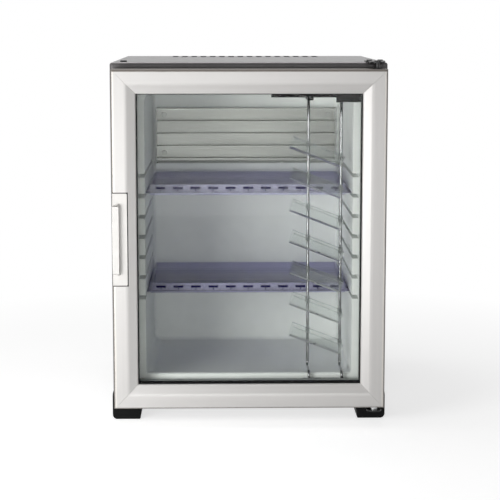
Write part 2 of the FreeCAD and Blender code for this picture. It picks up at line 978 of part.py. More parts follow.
def rack_top_bracket(rods):
    seat_z = (aperture_top - bracket_bar_drop, aperture_top + bracket_seat)
    pieces = [block((bracket_left, bracket_right), bracket_y, seat_z)]
    pieces.append(
        block(
            (bracket_box_left, bracket_right),
            (y_door_back, y_door_back + bracket_box_depth),
            (aperture_top - bracket_box_drop, aperture_top),
        )
    )
    arm_z = (arm_top - arm_height, arm_top)
    for x in rod_x:
        arm = block((x - arm_width / 2, x + arm_width / 2), (y_door_back, rod_y), arm_z)
        pieces += [arm, post(x, rod_y, arm_z, arm_width / 2)]
    return joined(pieces).cut(rods)


def rack_bottom_bracket(rods):
    """A low bar on the lower bead that takes the feet of both rods."""
    bar_x = (rod_x[0] - arm_width, rod_x[1] + arm_width)
    return block(bar_x, bracket_y, (foot_bar_low, aperture_bottom - foot_bar_drop)).cut(rods)


def rack_screws():
    """Screws through the rack's two brackets into the glazing beads."""
    half_seat = bracket_seat / 2
    quarter = rod_spacing / 4
    places = [(x, aperture_top + half_seat) for x in rod_x]
    places += [(rack_x + side * quarter, aperture_bottom - half_seat) for side in (-1, 1)]
    return [screw(V(x, bracket_y[1], z), ALONG_Y * -1) for x, z in places]


def bottle_cradle(number, rods):
    """A clear half-round trough with a closed lower end, clipped round both rods."""
    middle = V(cradle_x, cradle_y, liner_floor + first_cradle + cradle_pitch * number)
    start = middle - ALONG_X * (cradle_length / 2)
    outer = Part.makeCylinder(cradle_radius, cradle_length, start, ALONG_X)
    bore_length = cradle_length - cradle_wall + overrun
    bore_start = start - ALONG_X * overrun
    bore = Part.makeCylinder(cradle_radius - cradle_wall, bore_length, bore_start, ALONG_X)
    upper_half = block(
        (middle.x - cradle_length, middle.x + cradle_length),
        (middle.y - cradle_radius - overrun, middle.y + cradle_radius + overrun),
        (middle.z, middle.z + cradle_radius + overrun),
    )
    trough = outer.cut([bore, upper_half])
    trough.rotate(middle, ALONG_Y, cradle_tilt)
    lugs = []
    for x in rod_x:
        rim = middle.z - (x - middle.x) * math.tan(math.radians(cradle_tilt))
        lugs.append(
            block(
                (x - lug_width / 2, x + lug_width / 2),
                (middle.y + cradle_radius - lug_sink, rod_y + rod_radius + lug_back),
                (rim - lug_height, rim + lug_rise),
            )
        )
    return joined([trough] + lugs).cut(rods)


# Absorption cooling unit in the space behind the rear panel
unit_setback = 42.0
vessel_radius = 28.0
vessel_height = 75.0
vessel_left_gap = 40.0
vessel_right_gap = 50.0
vessel_round = 8.0
saddle_width = 16.0
saddle_height = 30.0
saddle_inset = 40.0
coil_radius = 7.0
coil_bend = 14.0
coil_pitch = 32.0
coil_runs = 5
coil_low = 142.0
coil_gap = 55.0
boiler_inset = 55.0
boiler_radius = 11.0
boiler_z = (112.0, 330.0)
jacket_half = 27.0
jacket_z = (126.0, 318.0)
jacket_round = 6.0
heater_radius = 5.0
heater_z = (116.0, 250.0)
heater_gap = 1.5
solution_radius = 6.0
solution_bend = 18.0
solution_height = 70.0
condenser_radius = 7.0
condenser_bend = 20.0
condenser_rise = 53.0
condenser_overhang = 30.0
fin_count = 16
fin_margin = 22.5
fin_size = 56.0
fin_thickness = 0.8
y_unit = y_box + unit_setback
boiler_x = cab_x - boiler_inset
coil_x = (coil_gap - boiler_x, boiler_x - coil_gap)
vessel_x = (vessel_left_gap - boiler_x, boiler_x - vessel_right_gap)
condenser_height = evaporator_middle + condenser_rise
condenser_end = coil_x[0] - condenser_overhang
fin_first = condenser_end + condenser_bend + fin_margin
fin_pitch = -2 * fin_first / (fin_count - 1)


def absorber_vessel():
    body = bar_along_x(vessel_x, y_unit, vessel_height, vessel_radius)
    rims = [e for e in body.Edges if isinstance(e.Curve, Part.Circle)]
    return body.makeFillet(vessel_round, rims)


def unit_saddles(vessel):
    shapes = []
    for x in (vessel_x[0] + saddle_inset, vessel_x[1] - saddle_inset):
        saddle = block(
            (x - saddle_width / 2, x + saddle_width / 2),
            (y_box + sheet, y_unit - vessel_radius / 2),
            (vessel_height - saddle_height / 2, vessel_height + saddle_height / 2),
        )
        shapes.append(saddle.cut(vessel))
    return shapes


def absorber_coil(vessel):
    """The return pipe: up from the vessel in level runs, then through the back wall."""
    points = [V(coil_x[0], y_unit, vessel_height)]
    for run in range(coil_runs):
        z = coil_low + coil_pitch * run
        ends = coil_x if run % 2 == 0 else coil_x[::-1]
        points += [V(ends[0], y_unit, z), V(ends[1], y_unit, z)]
    points.append(V(coil_x[1], y_unit, evaporator_middle))
    points.append(V(coil_x[1], y_liner, evaporator_middle))
    return bent_tube(points, coil_radius, coil_bend).cut(vessel)


def solution_pipe():
    points = [
        V(vessel_x[1], y_unit, solution_height),
        V(boiler_x, y_unit, solution_height),
        V(boiler_x, y_unit, boiler_z[0]),
    ]
    return bent_tube(points, solution_radius, solution_bend)


def boiler_tube():
    return post(boiler_x, y_unit, boiler_z, boiler_radius)


def heating_cartridge():
    y = y_unit + boiler_radius + heater_gap + heater_radius
    return post(boiler_x, y, heater_z, heater_radius)


def boiler_jacket(held):
    body = block(
        (boiler_x - jacket_half, boiler_x + jacket_half),
        (y_unit - jacket_half, y_unit + jacket_half),
        jacket_z,
    )
    body = body.makeFillet(jacket_round, edges_where(body, ALONG_Z, lambda p: True))
    return body.cut(held)


def condenser_tube():
    points = [
        V(boiler_x, y_unit, boiler_z[1]),
        V(boiler_x, y_unit, condenser_height),
        V(condenser_end, y_unit, condenser_height),
        V(condenser_end, y_unit, evaporator_middle),
        V(condenser_end, y_liner, evaporator_middle),
    ]
    return bent_tube(points, condenser_radius, condenser_bend)


def condenser_fins():
    fins = []
    half = fin_size / 2
    for number in range(fin_count):
        x = fin_first + fin_pitch * number
        fin = block(
            (x - fin_thickness / 2, x + fin_thickness / 2),
            (y_unit - half, y_unit + half),
            (condenser_height - half, condenser_height + half),
        )
        hole = bar_along_x((x - overrun, x + overrun), y_unit, condenser_height, condenser_radius)
        fins.append(fin.cut(hole))
    return fins


def pipe_holes():
    """Clearance holes for the two evaporator pipes through the liner, foam and rear panel."""
    y = (y_liner, y_box + sheet + overrun)
    return [
        bar_along_y(coil_x[1], y, evaporator_middle, coil_radius + pipe_clearance),
        bar_along_y(condenser_end, y, evaporator_middle, condenser_radius + pipe_clearance),
    ]


# Control box: mains electronics on the rear panel, with a gland for the cord
control_inset = 9.0
control_width = 70.0
control_z = (48.0, 126.0)
control_depth = 44.0
control_wall = 2.0
control_round = 3.0
cover_depth = 2.5
gland_radius = 9.0
gland_length = 12.0
gland_bore = 3.6
gland_y_setback = 24.0
gland_flange_radius = 11.5
gland_flange = 2.5
control_x = (control_inset - cab_x, control_inset + control_width - cab_x)
gland_x = (control_x[0] + control_x[1]) / 2
gland_y = y_box + sheet + gland_y_setback


def gland_passage():
    return post(
        gland_x,
        gland_y,
        (control_z[0] - gland_length - overrun, control_z[0] + control_wall + overrun),
        gland_bore,
    )


def control_box():
    y = (y_box + sheet, y_box + sheet + control_depth)
    body = block(control_x, y, control_z)
    body = body.makeFillet(control_round, edges_where(body, ALONG_Y, lambda p: True))
    hollow = block(
        (control_x[0] + control_wall, control_x[1] - control_wall),
        (y[0] + control_wall, y[1] + overrun),
        (control_z[0] + control_wall, control_z[1] - control_wall),
    )
    return body.cut([hollow, gland_passage()])


def control_cover():
    front = y_box + sheet + control_depth
    body = block(control_x, (front, front + cover_depth), control_z)
    return body.makeFillet(control_round, edges_where(body, ALONG_Y, lambda p: True))


def cord_gland():
    low = control_z[0] - gland_length
    barrel = post(gland_x, gland_y, (low, control_z[0]), gland_radius)
    flange = post(gland_x, gland_y, (control_z[0] - gland_flange, control_z[0]), gland_flange_radius)
    return joined([barrel, flange]).cut(gland_passage())


def cabinet_pieces():
    panel = side_panel_right()
    panels = [panel, mirrored(panel)]
    screws = foot_screws() + hinge_screws()
    screws += [screw(seat, ALONG_Y) for seat in evaporator_screw_seats()]
    plugs = top_plugs()
    holes = pipe_holes()
    filled = liner_filled()
    lid = top_cover().cut(screws + plugs)
    base = base_plate().cut(screws)
    rail = front_rail()
    bracket = lower_hinge_bracket().cut(screws)
    bracket_pin = lower_hinge_pin()
    foot_front = foot_right(y_cab).cut(screws)
    foot_rear = foot_right(y_box - foot_depth).cut(screws)
    through_wall = holes + [spout_hole()] + screws
    foam = insulation_foam(filled, plugs + through_wall)
    return {
        "top_cover": lid,
        "side_panel_left": panels[1],
        "side_panel_right": panels[0],
        "base_plate": base,
        "front_rail": rail,
        "rear_panel": rear_panel(lid).cut(through_wall),
        "insulation_foam": foam,
        "inner_liner": inner_liner(filled).cut(through_wall),
        "evaporator_plate": evaporator_plate().cut(screws),
        "drip_tray": drip_tray(),
        "upper_shelf": shelf(upper_groove),
        "lower_shelf": shelf(lower_groove),
        "front_foot_left": mirrored(foot_front),
        "front_foot_right": foot_front.cut([bracket, bracket_pin]),
        "rear_foot_left": mirrored(foot_rear),
        "rear_foot_right": foot_rear,
        "cabinet_screws": Part.makeCompound(screws),
        "top_plugs": Part.makeCompound(plugs),
        "upper_hinge_plate": upper_hinge_plate().cut(screws),
        "upper_hinge_pin": upper_hinge_pin(),
        "lower_hinge_bracket": bracket,
        "lower_hinge_pin": bracket_pin,
    }


def door_pieces():
    bush_seats = bush_holes()
    rails = door_rails()
    rails["left"] = rails["left"].cut(handle_pocket())
    rods = [rack_rod(x) for x in rod_x]
    screws = rack_screws()
    keys = [key.cut(bush_seats) for key in corner_keys()]
    beads = [bead.cut(screws) for bead in glazing_beads()]
    pieces = {
        "corner_keys": Part.makeCompound(keys),
        "outer_glass": pane(outer_pane_y),
        "inner_glass": pane(inner_pane_y),
        "glass_spacer": glass_spacer(),
        "glazing_gasket": glazing_gasket(),
        "glazing_beads": Part.makeCompound(beads),
        "door_seal": Part.makeCompound(door_seal()),
        "door_handle": door_handle(),
        "upper_hinge_bush": upper_hinge_bush(),
        "lower_hinge_bush": lower_hinge_bush(),
        "rack_top_bracket": rack_top_bracket(rods).cut(screws),
        "rack_bottom_bracket": rack_bottom_bracket(rods).cut(screws),
        "rack_rod_left": rods[0],
        "rack_rod_right": rods[1],
        "rack_screws": Part.makeCompound(screws),
    }
    for side, rail in rails.items():
        pieces["door_rail_" + side] = rail.cut(bush_seats)
    for number in range(cradle_count):
        pieces["bottle_cradle_" + str(number + 1)] = bottle_cradle(number, rods)
    return pieces


def cooling_pieces():
    vessel = absorber_vessel()
    boiler = boiler_tube()
    heater = heating_cartridge()
    return {
        "absorber_vessel": vessel,
        "absorber_coil": absorber_coil(vessel),
        "solution_pipe": solution_pipe(),
        "boiler_tube": boiler,
        "boiler_jacket": boiler_jacket([boiler, heater]),
        "heating_cartridge": heater,
        "condenser_tube": condenser_tube(),
        "condenser_fins": Part.makeCompound(condenser_fins()),
        "unit_saddles": Part.makeCompound(unit_saddles(vessel)),
        "control_box": control_box(),
        "control_cover": control_cover(),
        "cord_gland": cord_gland(),
    }


def write_parts():
    os.makedirs("parts", exist_ok=True)
    pieces = cabinet_pieces() | door_pieces() | cooling_pieces()
    for name, shape in pieces.items():
        shape.exportStep("parts/" + name + ".step")
    print(len(pieces), "pieces")


write_parts()
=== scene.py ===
"""Studio scene of a hotel minibar fridge: materials, finer pieces, light and camera, in metres."""
import bpy
import json
import math
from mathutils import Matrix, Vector


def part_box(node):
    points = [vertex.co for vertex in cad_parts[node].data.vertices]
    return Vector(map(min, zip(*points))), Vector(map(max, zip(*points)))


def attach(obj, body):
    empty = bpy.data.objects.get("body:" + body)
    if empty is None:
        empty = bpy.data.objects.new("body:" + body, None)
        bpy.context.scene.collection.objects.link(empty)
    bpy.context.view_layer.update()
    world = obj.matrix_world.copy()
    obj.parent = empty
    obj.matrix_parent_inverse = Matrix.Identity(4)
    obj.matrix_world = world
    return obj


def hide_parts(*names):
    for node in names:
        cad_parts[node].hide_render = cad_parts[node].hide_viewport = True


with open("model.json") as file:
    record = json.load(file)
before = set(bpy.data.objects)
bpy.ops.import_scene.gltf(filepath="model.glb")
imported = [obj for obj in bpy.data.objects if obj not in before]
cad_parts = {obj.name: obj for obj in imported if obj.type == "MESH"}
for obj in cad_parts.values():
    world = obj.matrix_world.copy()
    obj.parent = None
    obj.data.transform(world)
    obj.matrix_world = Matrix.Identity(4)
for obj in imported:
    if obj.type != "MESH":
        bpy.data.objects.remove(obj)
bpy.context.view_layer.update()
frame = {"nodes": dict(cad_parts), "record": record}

MM = 0.001
nodes = frame["nodes"]


def tone(red, green, blue):
    """An 8-bit screen colour as the linear colour that a shader takes."""
    linear = []
    for value in (red, green, blue):
        share = value / 255
        linear.append(share / 12.92 if share <= 0.04045 else ((share + 0.055) / 1.055) ** 2.4)
    return (*linear, 1.0)


# Shader building blocks. A grain counts the waves of a noise in one metre
mottle_spread = 20
film_grain = 30


def shader_tree(name):
    material = bpy.data.materials.new(name)
    material.use_nodes = True
    tree = material.node_tree
    tree.nodes.clear()
    output = tree.nodes.new("ShaderNodeOutputMaterial")
    return material, tree, output


def add(tree, kind, **sockets):
    """A new shader node with its sockets set by name."""
    made = tree.nodes.new("ShaderNode" + kind)
    for name, value in sockets.items():
        made.inputs[name.replace("_", " ")].default_value = value
    return made


def link(tree, source, target):
    tree.links.new(source, target)


def noise(tree, scale, stretch=(1, 1, 1), detail=3.0):
    """Noise in the object's own space, stretched along the axes where the numbers are small."""
    place = add(tree, "TexCoord")
    mapping = add(tree, "Mapping", Scale=stretch)
    texture = add(tree, "TexNoise", Scale=scale, Detail=detail)
    link(tree, place.outputs["Object"], mapping.inputs["Vector"])
    link(tree, mapping.outputs["Vector"], texture.inputs["Vector"])
    return texture.outputs["Fac"]


def ramp(tree, factor, dark, light, start_share=0.3, end_share=0.7):
    """A blend between two tones, driven by a pattern."""
    made = add(tree, "ValToRGB")
    made.color_ramp.elements[0].position = start_share
    made.color_ramp.elements[1].position = end_share
    made.color_ramp.elements[0].color = dark
    made.color_ramp.elements[1].color = light
    link(tree, factor, made.inputs["Fac"])
    return made.outputs["Color"]


def spread(tree, factor, low, high, start_share=0.3, end_share=0.7):
    """A pattern turned into a number between low and high."""
    made = add(tree, "MapRange", From_Min=start_share, From_Max=end_share, To_Min=low, To_Max=high)
    link(tree, factor, made.inputs["Value"])
    return made.outputs["Result"]


def band(tree, axis, start, end):
    """Zero before start and one after end, along one axis of the object's own space."""
    place = add(tree, "TexCoord")
    apart = add(tree, "SeparateXYZ")
    edge = add(tree, "MapRange", From_Min=start, From_Max=end)
    link(tree, place.outputs["Object"], apart.inputs["Vector"])
    link(tree, apart.outputs[axis], edge.inputs["Value"])
    return edge.outputs["Result"]


def larger(tree, first, second):
    return joined_factor(tree, "MAXIMUM", first, second)


def both(tree, first, second):
    return joined_factor(tree, "MULTIPLY", first, second)


def joined_factor(tree, operation, first, second):
    made = add(tree, "Math")
    made.operation = operation
    link(tree, first, made.inputs[0])
    link(tree, second, made.inputs[1])
    return made.outputs["Value"]


def shaded(tree, colour, factor, dark):
    """A colour that goes over to a dark tone where the factor is one."""
    made = add(tree, "Mix")
    made.data_type = "RGBA"
    link(tree, factor, made.inputs["Factor"])
    link(tree, colour, made.inputs[6])
    made.inputs[7].default_value = dark
    return made.outputs[2]


def window(tree, axis, start, end, soft):
    """One between two places along an axis and zero outside them, with soft ends."""
    return both(tree, band(tree, axis, start - soft, start), band(tree, axis, end + soft, end))


def bump(tree, factor, height):
    made = add(tree, "Bump", Strength=1.0, Distance=height)
    link(tree, factor, made.inputs["Height"])
    return made.outputs["Normal"]


def surface(name, dark, light, rough, grain, height, metal=0.0, shine=0.5, stretch=(1, 1, 1), tone_change_and_painted_light=None):
    """An opaque finish: mottled tone, uneven gloss and a fine grain. A local tone change, which in some
    finishes is painted light or shade, changes some places.
    """
    material, tree, output = shader_tree(name)
    shader = add(tree, "BsdfPrincipled", Metallic=metal, Specular_IOR_Level=shine)
    broad = noise(tree, grain / mottle_spread, stretch)
    fine = noise(tree, grain, stretch)
    colour = ramp(tree, broad, dark, light)
    if tone_change_and_painted_light:
        colour = tone_change_and_painted_light(tree, colour)
    link(tree, colour, shader.inputs["Base Color"])
    link(tree, spread(tree, broad, rough[0], rough[1]), shader.inputs["Roughness"])
    link(tree, bump(tree, fine, height), shader.inputs["Normal"])
    link(tree, shader.outputs["BSDF"], output.inputs["Surface"])
    return material


def clear(name, tint, smudged, rough, index, body=None):
    """A clear finish: light passes tinted and faces shine by angle. A body adds a colour and its haze."""
    material, tree, output = shader_tree(name)
    through = add(tree, "BsdfTransparent")
    shine = add(tree, "BsdfGlossy")
    angle = add(tree, "Fresnel", IOR=index)
    mix = add(tree, "MixShader")
    film = noise(tree, film_grain)
    link(tree, ramp(tree, film, tint, smudged), through.inputs["Color"])
    link(tree, spread(tree, film, rough[0], rough[1]), shine.inputs["Roughness"])
    link(tree, angle.outputs["Fac"], mix.inputs["Fac"])
    link(tree, through.outputs["BSDF"], mix.inputs[1])
    link(tree, shine.outputs["BSDF"], mix.inputs[2])
    last = mix
    if body:
        colour, share = body(tree)
        haze = add(tree, "BsdfDiffuse")
        last = add(tree, "MixShader")
        link(tree, colour, haze.inputs["Color"])
        link(tree, share, last.inputs["Fac"])
        link(tree, mix.outputs["Shader"], last.inputs[1])
        link(tree, haze.outputs["BSDF"], last.inputs[2])
    link(tree, last.outputs["Shader"], output.inputs["Surface"])
    return material


# Finishes
polished_height = 0.005 * MM
brushed_height = 0.006 * MM
fine_height = 0.01 * MM
paint_height = 0.015 * MM
moulding_height = 0.02 * MM
coarse_height = 0.03 * MM
unit_height = 0.04 * MM
foam_height = 0.2 * MM
rolled_shares = (0.05, 1, 1)
brushed_level_shares = (0.02, 1, 1)
brushed_upright_shares = (1, 1, 0.02)
fade = 0.15 * MM


def cabinet_paint():
    return surface("cabinet_paint", tone(80, 77, 78), tone(86, 83, 84), rough=(0.28, 0.35),
                   grain=1400, height=paint_height)


vent_reach = 80 * MM
vent_half_row = 124 * MM
vent_lip = 0.1 * MM
lid_edge = 4 * MM
lid_edge_drop = 1.0 * MM


def lid_paint():
    """The cabinet's paint, with painted shade in black inside the vents and a painted highlight along the
    front edge.
    """
    low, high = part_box("top_cover")

    def edges(tree, colour):
        # Painted shade: black inside the vent slots.
        below = band(tree, "Z", high[2] - vent_lip, high[2] - vent_lip * 2)
        row = window(tree, "X", -vent_half_row, vent_half_row, fade)
        bay = window(tree, "Y", high[1] - vent_reach, high[1] - fade * 2, fade)
        colour = shaded(tree, colour, both(tree, below, both(tree, row, bay)), tone(4, 4, 4))
        # Painted highlight along the lid's curved front edge.
        front = band(tree, "Y", low[1] + lid_edge + fade, low[1] + lid_edge)
        highlight_band = band(tree, "Z", high[2] - lid_edge_drop - fade, high[2] - lid_edge_drop)
        return shaded(tree, colour, both(tree, front, highlight_band), tone(216, 210, 212))

    return surface("lid_paint", tone(82, 79, 80), tone(88, 85, 86), rough=(0.28, 0.35),
                   grain=1400, height=paint_height, tone_change_and_painted_light=edges)


def galvanised_sheet():
    return surface("galvanised_sheet", tone(150, 154, 158), tone(186, 190, 192), rough=(0.32, 0.5),
                   grain=700, height=fine_height, metal=0.9)


def liner_plastic():
    return surface("liner_plastic", tone(240, 242, 240), tone(244, 246, 244), rough=(0.36, 0.46),
                   grain=1200, height=moulding_height)


def insulation():
    return surface("insulation", tone(214, 196, 140), tone(228, 212, 164), rough=(0.8, 0.95),
                   grain=400, height=foam_height)


def evaporator_aluminium():
    return surface("evaporator_aluminium", tone(132, 133, 130), tone(146, 146, 143), rough=(0.34, 0.46),
                   grain=1800, height=fine_height, metal=0.8, stretch=rolled_shares)


shelf_lip = 3.2 * MM
slot_wall = 2 * MM
floor_haze_share = 0.1
lip_haze_share = 0.3
slot_shade_share = 0.95


def shelf_plastic():
    """Violet clear plastic, cloudier in the front lip, with painted shade in deep blue on the back walls
    of its slots.
    """
    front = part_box("upper_shelf")[0][1]

    def body(tree):
        hazy = add(tree, "Mix")
        hazy.data_type = "RGBA"
        lip = band(tree, "Y", front + shelf_lip + fade, front + shelf_lip)
        link(tree, lip, hazy.inputs["Factor"])
        hazy.inputs[6].default_value = tone(136, 130, 216)
        hazy.inputs[7].default_value = tone(198, 196, 224)
        # Painted shade: deep blue on the slot walls.
        wall = window(tree, "Y", front + slot_wall - fade, front + slot_wall + fade, fade)
        colour = shaded(tree, hazy.outputs[2], wall, tone(22, 20, 66))
        haze = spread(tree, lip, floor_haze_share, lip_haze_share, 0, 1)
        return colour, larger(tree, haze, spread(tree, wall, 0, slot_shade_share, 0, 1))

    return clear("shelf_plastic", tone(243, 242, 254), tone(247, 246, 254), rough=(0.06, 0.16),
                 index=1.3, body=body)


def black_plastic():
    return surface("black_plastic", tone(7, 7, 8), tone(11, 11, 12), rough=(0.45, 0.6),
                   grain=1600, height=coarse_height, shine=0.1)


def hinge_paint():
    return surface("hinge_paint", tone(14, 14, 15), tone(20, 20, 21), rough=(0.28, 0.4),
                   grain=1500, height=fine_height, shine=0.35)


def blackened_steel():
    """Black screws, but plain grey where they hold the plate on the back wall."""
    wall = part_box("evaporator_plate")[0][1]

    def bare(tree, colour):
        return shaded(tree, colour, band(tree, "Y", wall - fade, wall), tone(150, 151, 150))

    return surface("blackened_steel", tone(16, 16, 17), tone(24, 24, 25), rough=(0.26, 0.4),
                   grain=1500, height=polished_height, metal=0.2, tone_change_and_painted_light=bare)


def bright_steel():
    return surface("bright_steel", tone(196, 198, 200), tone(214, 215, 216), rough=(0.16, 0.28),
                   grain=1500, height=polished_height, metal=1.0)


edge_start = 2.4 * MM
edge_end = 0.9 * MM
top_edge_start = 4.2 * MM
top_edge_end = 2.8 * MM
rim_depth = 3 * MM
glint_start = 4.2 * MM
glint_end = 2.2 * MM
seam_depth = 1.2 * MM
seam_width = 1.5 * MM


def frame_aluminium(name, stretch):
    """Anodised rails with painted shade on the outer edge, top and handle seam, and a painted glint."""
    left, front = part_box("door_rail_left")[0][:2]
    bottom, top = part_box("door_rail_bottom")[0][2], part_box("door_rail_top")[1][2]
    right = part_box("door_rail_right")[1][0]
    plate_low, plate_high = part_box("door_handle")

    def edges(tree, colour):
        # Painted shade on the curved outer edges and on the top.
        sides = larger(tree, band(tree, "X", left + edge_start, left + edge_end),
                       band(tree, "X", right - edge_start, right - edge_end))
        bottom_edge = band(tree, "Z", bottom + edge_start, bottom + edge_end)
        edge_shade = both(tree, larger(tree, sides, bottom_edge),
                       band(tree, "Y", front + rim_depth + fade, front + rim_depth))
        top_shade = band(tree, "Z", top - top_edge_start, top - top_edge_end)
        # Painted highlight: a glint strip just inside each outer edge.
        glints = larger(tree, window(tree, "X", left + glint_end, left + glint_start, fade),
                        window(tree, "X", right - glint_start, right - glint_end, fade))
        colour = shaded(tree, colour, glints, tone(214, 210, 204))
        colour = shaded(tree, colour, larger(tree, edge_shade, top_shade), tone(118, 112, 106))
        # Painted shade in the seam round the handle.
        sunk = window(tree, "Y", front + fade * 2, front + seam_depth + fade, fade)
        seam_end = plate_high[0] + seam_width
        beside = band(tree, "X", seam_end + fade, seam_end)
        level = window(tree, "Z", plate_low[2] - seam_width, plate_high[2] + seam_width, fade)
        seam = both(tree, both(tree, sunk, beside), level)
        return shaded(tree, colour, seam, tone(30, 29, 28))

    return surface(name, tone(196, 194, 192), tone(201, 199, 197), rough=(0.36, 0.44),
                   grain=2600, height=brushed_height, metal=0.2, stretch=stretch, tone_change_and_painted_light=edges)


def clear_glass():
    return clear("clear_glass", tone(254, 255, 254), tone(252, 253, 252), rough=(0.0, 0.02), index=1.13)


def black_rubber():
    return surface("black_rubber", tone(9, 9, 10), tone(14, 14, 15), rough=(0.6, 0.75),
                   grain=1400, height=coarse_height, shine=0.15)


def bead_plastic():
    return surface("bead_plastic", tone(160, 163, 161), tone(170, 173, 171), rough=(0.4, 0.55),
                   grain=1400, height=moulding_height)


def seal_rubber():
    return surface("seal_rubber", tone(58, 58, 60), tone(70, 70, 72), rough=(0.5, 0.65),
                   grain=1200, height=coarse_height)


def handle_plastic():
    return surface("handle_plastic", tone(198, 196, 193), tone(204, 202, 199), rough=(0.36, 0.44),
                   grain=1600, height=fine_height, metal=0.2)


def bush_plastic():
    return surface("bush_plastic", tone(40, 40, 42), tone(52, 52, 54), rough=(0.45, 0.6),
                   grain=1400, height=moulding_height)


rod_dark_end = 36 * MM
rod_dark_start = 26 * MM


def rack_chrome():
    """Chromed rods, with a painted dark reflection near the top ends where they go into the bracket."""
    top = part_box("rack_rod_left")[1][2]

    def ends(tree, colour):
        # Painted reflection: the rods dark near their top ends.
        upper = band(tree, "Z", top - rod_dark_end, top - rod_dark_start)
        return shaded(tree, colour, upper, tone(24, 24, 25))

    return surface("rack_chrome", tone(112, 112, 114), tone(140, 140, 142), rough=(0.14, 0.24),
                   grain=1500, height=polished_height, metal=1.0, tone_change_and_painted_light=ends)


milk_grain = 40
milk_share_grain = 60
milk_shares = (0.05, 0.09)


def clear_plastic():
    """Colourless clear plastic with a faint milky haze."""

    def body(tree):
        colour = ramp(tree, noise(tree, milk_grain), tone(220, 224, 224), tone(232, 235, 235))
        return colour, spread(tree, noise(tree, milk_share_grain), *milk_shares)

    return clear("clear_plastic", tone(248, 250, 250), tone(252, 253, 253), rough=(0.04, 0.12),
                 index=1.2, body=body)


def unit_paint():
    return surface("unit_paint", tone(30, 30, 31), tone(44, 43, 43), rough=(0.4, 0.6),
                   grain=900, height=unit_height)


# Finish of every CAD node, by the record's slots
def dress_nodes():
    upright = frame_aluminium("frame_aluminium_upright", brushed_upright_shares)
    level = frame_aluminium("frame_aluminium_level", brushed_level_shares)
    finishes = {
        "cabinet_paint": cabinet_paint(),
        "galvanised_sheet": galvanised_sheet(),
        "liner_plastic": liner_plastic(),
        "insulation": insulation(),
        "evaporator_aluminium": evaporator_aluminium(),
        "shelf_plastic": shelf_plastic(),
        "black_plastic": black_plastic(),
        "hinge_paint": hinge_paint(),
        "bright_steel": bright_steel(),
        "frame_aluminium": upright,
        "clear_glass": clear_glass(),
        "black_rubber": black_rubber(),
        "bead_plastic": bead_plastic(),
        "seal_rubber": seal_rubber(),
        "handle_plastic": handle_plastic(),
        "bush_plastic": bush_plastic(),
        "rack_chrome": rack_chrome(),
        "clear_plastic": clear_plastic(),
        "unit_paint": unit_paint(),
    }
    for part in frame["record"]["subparts"]:
        mesh = nodes[part["node"]].data
        mesh.materials.clear()
        mesh.materials.append(finishes[part["material_slot"]])
    for name in ("door_rail_top", "door_rail_bottom"):
        nodes[name].data.materials[0] = level
    nodes["top_cover"].data.materials[0] = lid_paint()
    black_steel = blackened_steel()
    for name in ("cabinet_screws", "rack_screws", "upper_hinge_pin"):
        nodes[name].data.materials[0] = black_steel


dress_nodes()


# Panes: each is one clear sheet on the face that shows
def mesh_piece(name, points, faces, finish, body):
    mesh = bpy.data.meshes.new(name)
    mesh.from_pydata(points, [], faces)
    mesh.validate()
    mesh.materials.append(finish)
    piece = bpy.data.objects.new(name, mesh)
    bpy.context.scene.collection.objects.link(piece)
    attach(piece, body)
    return piece


def pane(node, show_front):
    low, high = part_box(node)
    y = low[1] if show_front else high[1]
    points = [(low[0], y, low[2]), (high[0], y, low[2]), (high[0], y, high[2]), (low[0], y, high[2])]
    finish = nodes[node].data.materials[0]
    sheet = mesh_piece(node + "_sheet", points, [(0, 1, 2, 3)], finish, "door")
    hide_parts(node)


pane("outer_glass", True)
pane("inner_glass", False)


# Door seal: a magnet tube on a folded bellows, mitred at the corners
seal_width = 12 * MM
seal_soft = 0.35 * MM
soft_angle = math.radians(40)
corner_count = 4
seal_shares = [
    (0.0833, 0.0), (0.9167, 0.0), (0.8833, 0.1609), (0.7, 0.3103), (0.9333, 0.4713), (0.9667, 0.5747),
    (0.9667, 1.0), (0.0333, 1.0), (0.0333, 0.5747), (0.0667, 0.4713), (0.3, 0.3103), (0.1167, 0.1609),
]


def soften(piece, width):
    """Rounds a piece's sharp edges a little, as a moulding or a fold has them."""
    edge = piece.modifiers.new("soft_edges", "BEVEL")
    edge.width = width
    edge.segments = 2
    edge.limit_method = "ANGLE"
    edge.angle_limit = soft_angle


def door_seal():
    """The outline's shares are of the seal's width and depth, and each point runs once round the door."""
    low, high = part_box("door_seal")
    points = []
    for inset_share, depth_share in seal_shares:
        reach = seal_width * inset_share
        y = low[1] + (high[1] - low[1]) * depth_share
        left, right = low[0] + reach, high[0] - reach
        bottom, top = low[2] + reach, high[2] - reach
        points += [(left, y, bottom), (right, y, bottom), (right, y, top), (left, y, top)]
    faces = []
    count = len(seal_shares)
    for step in range(count):
        here = step * corner_count
        ahead = (step + 1) % count * corner_count
        for side in range(corner_count):
            turn = (side + 1) % corner_count
            faces.append((here + side, ahead + side, ahead + turn, here + turn))
    finish = nodes["door_seal"].data.materials[0]
    seal = mesh_piece("door_seal_bellows", points, faces, finish, "door")
    soften(seal, seal_soft)
    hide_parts("door_seal")


door_seal()


# Cradles: clear half-round troughs with a beaded rim, clipped round the two rods
cradle_count = 7
cradle_length = 80 * MM
cradle_radius = 17.6 * MM
cradle_outer_radius = 18 * MM
cradle_tilt = math.radians(21)
cradle_shift = 10.5 * MM
cradle_setback = 21.2 * MM
cradle_steps = 18
hoop_steps = 16
bead_steps = 8
rod_radius = 2 * MM
clip_radius = 3.4 * MM
clip_above = 1 * MM
clip_below = 8 * MM
rim_bead = 0.8 * MM


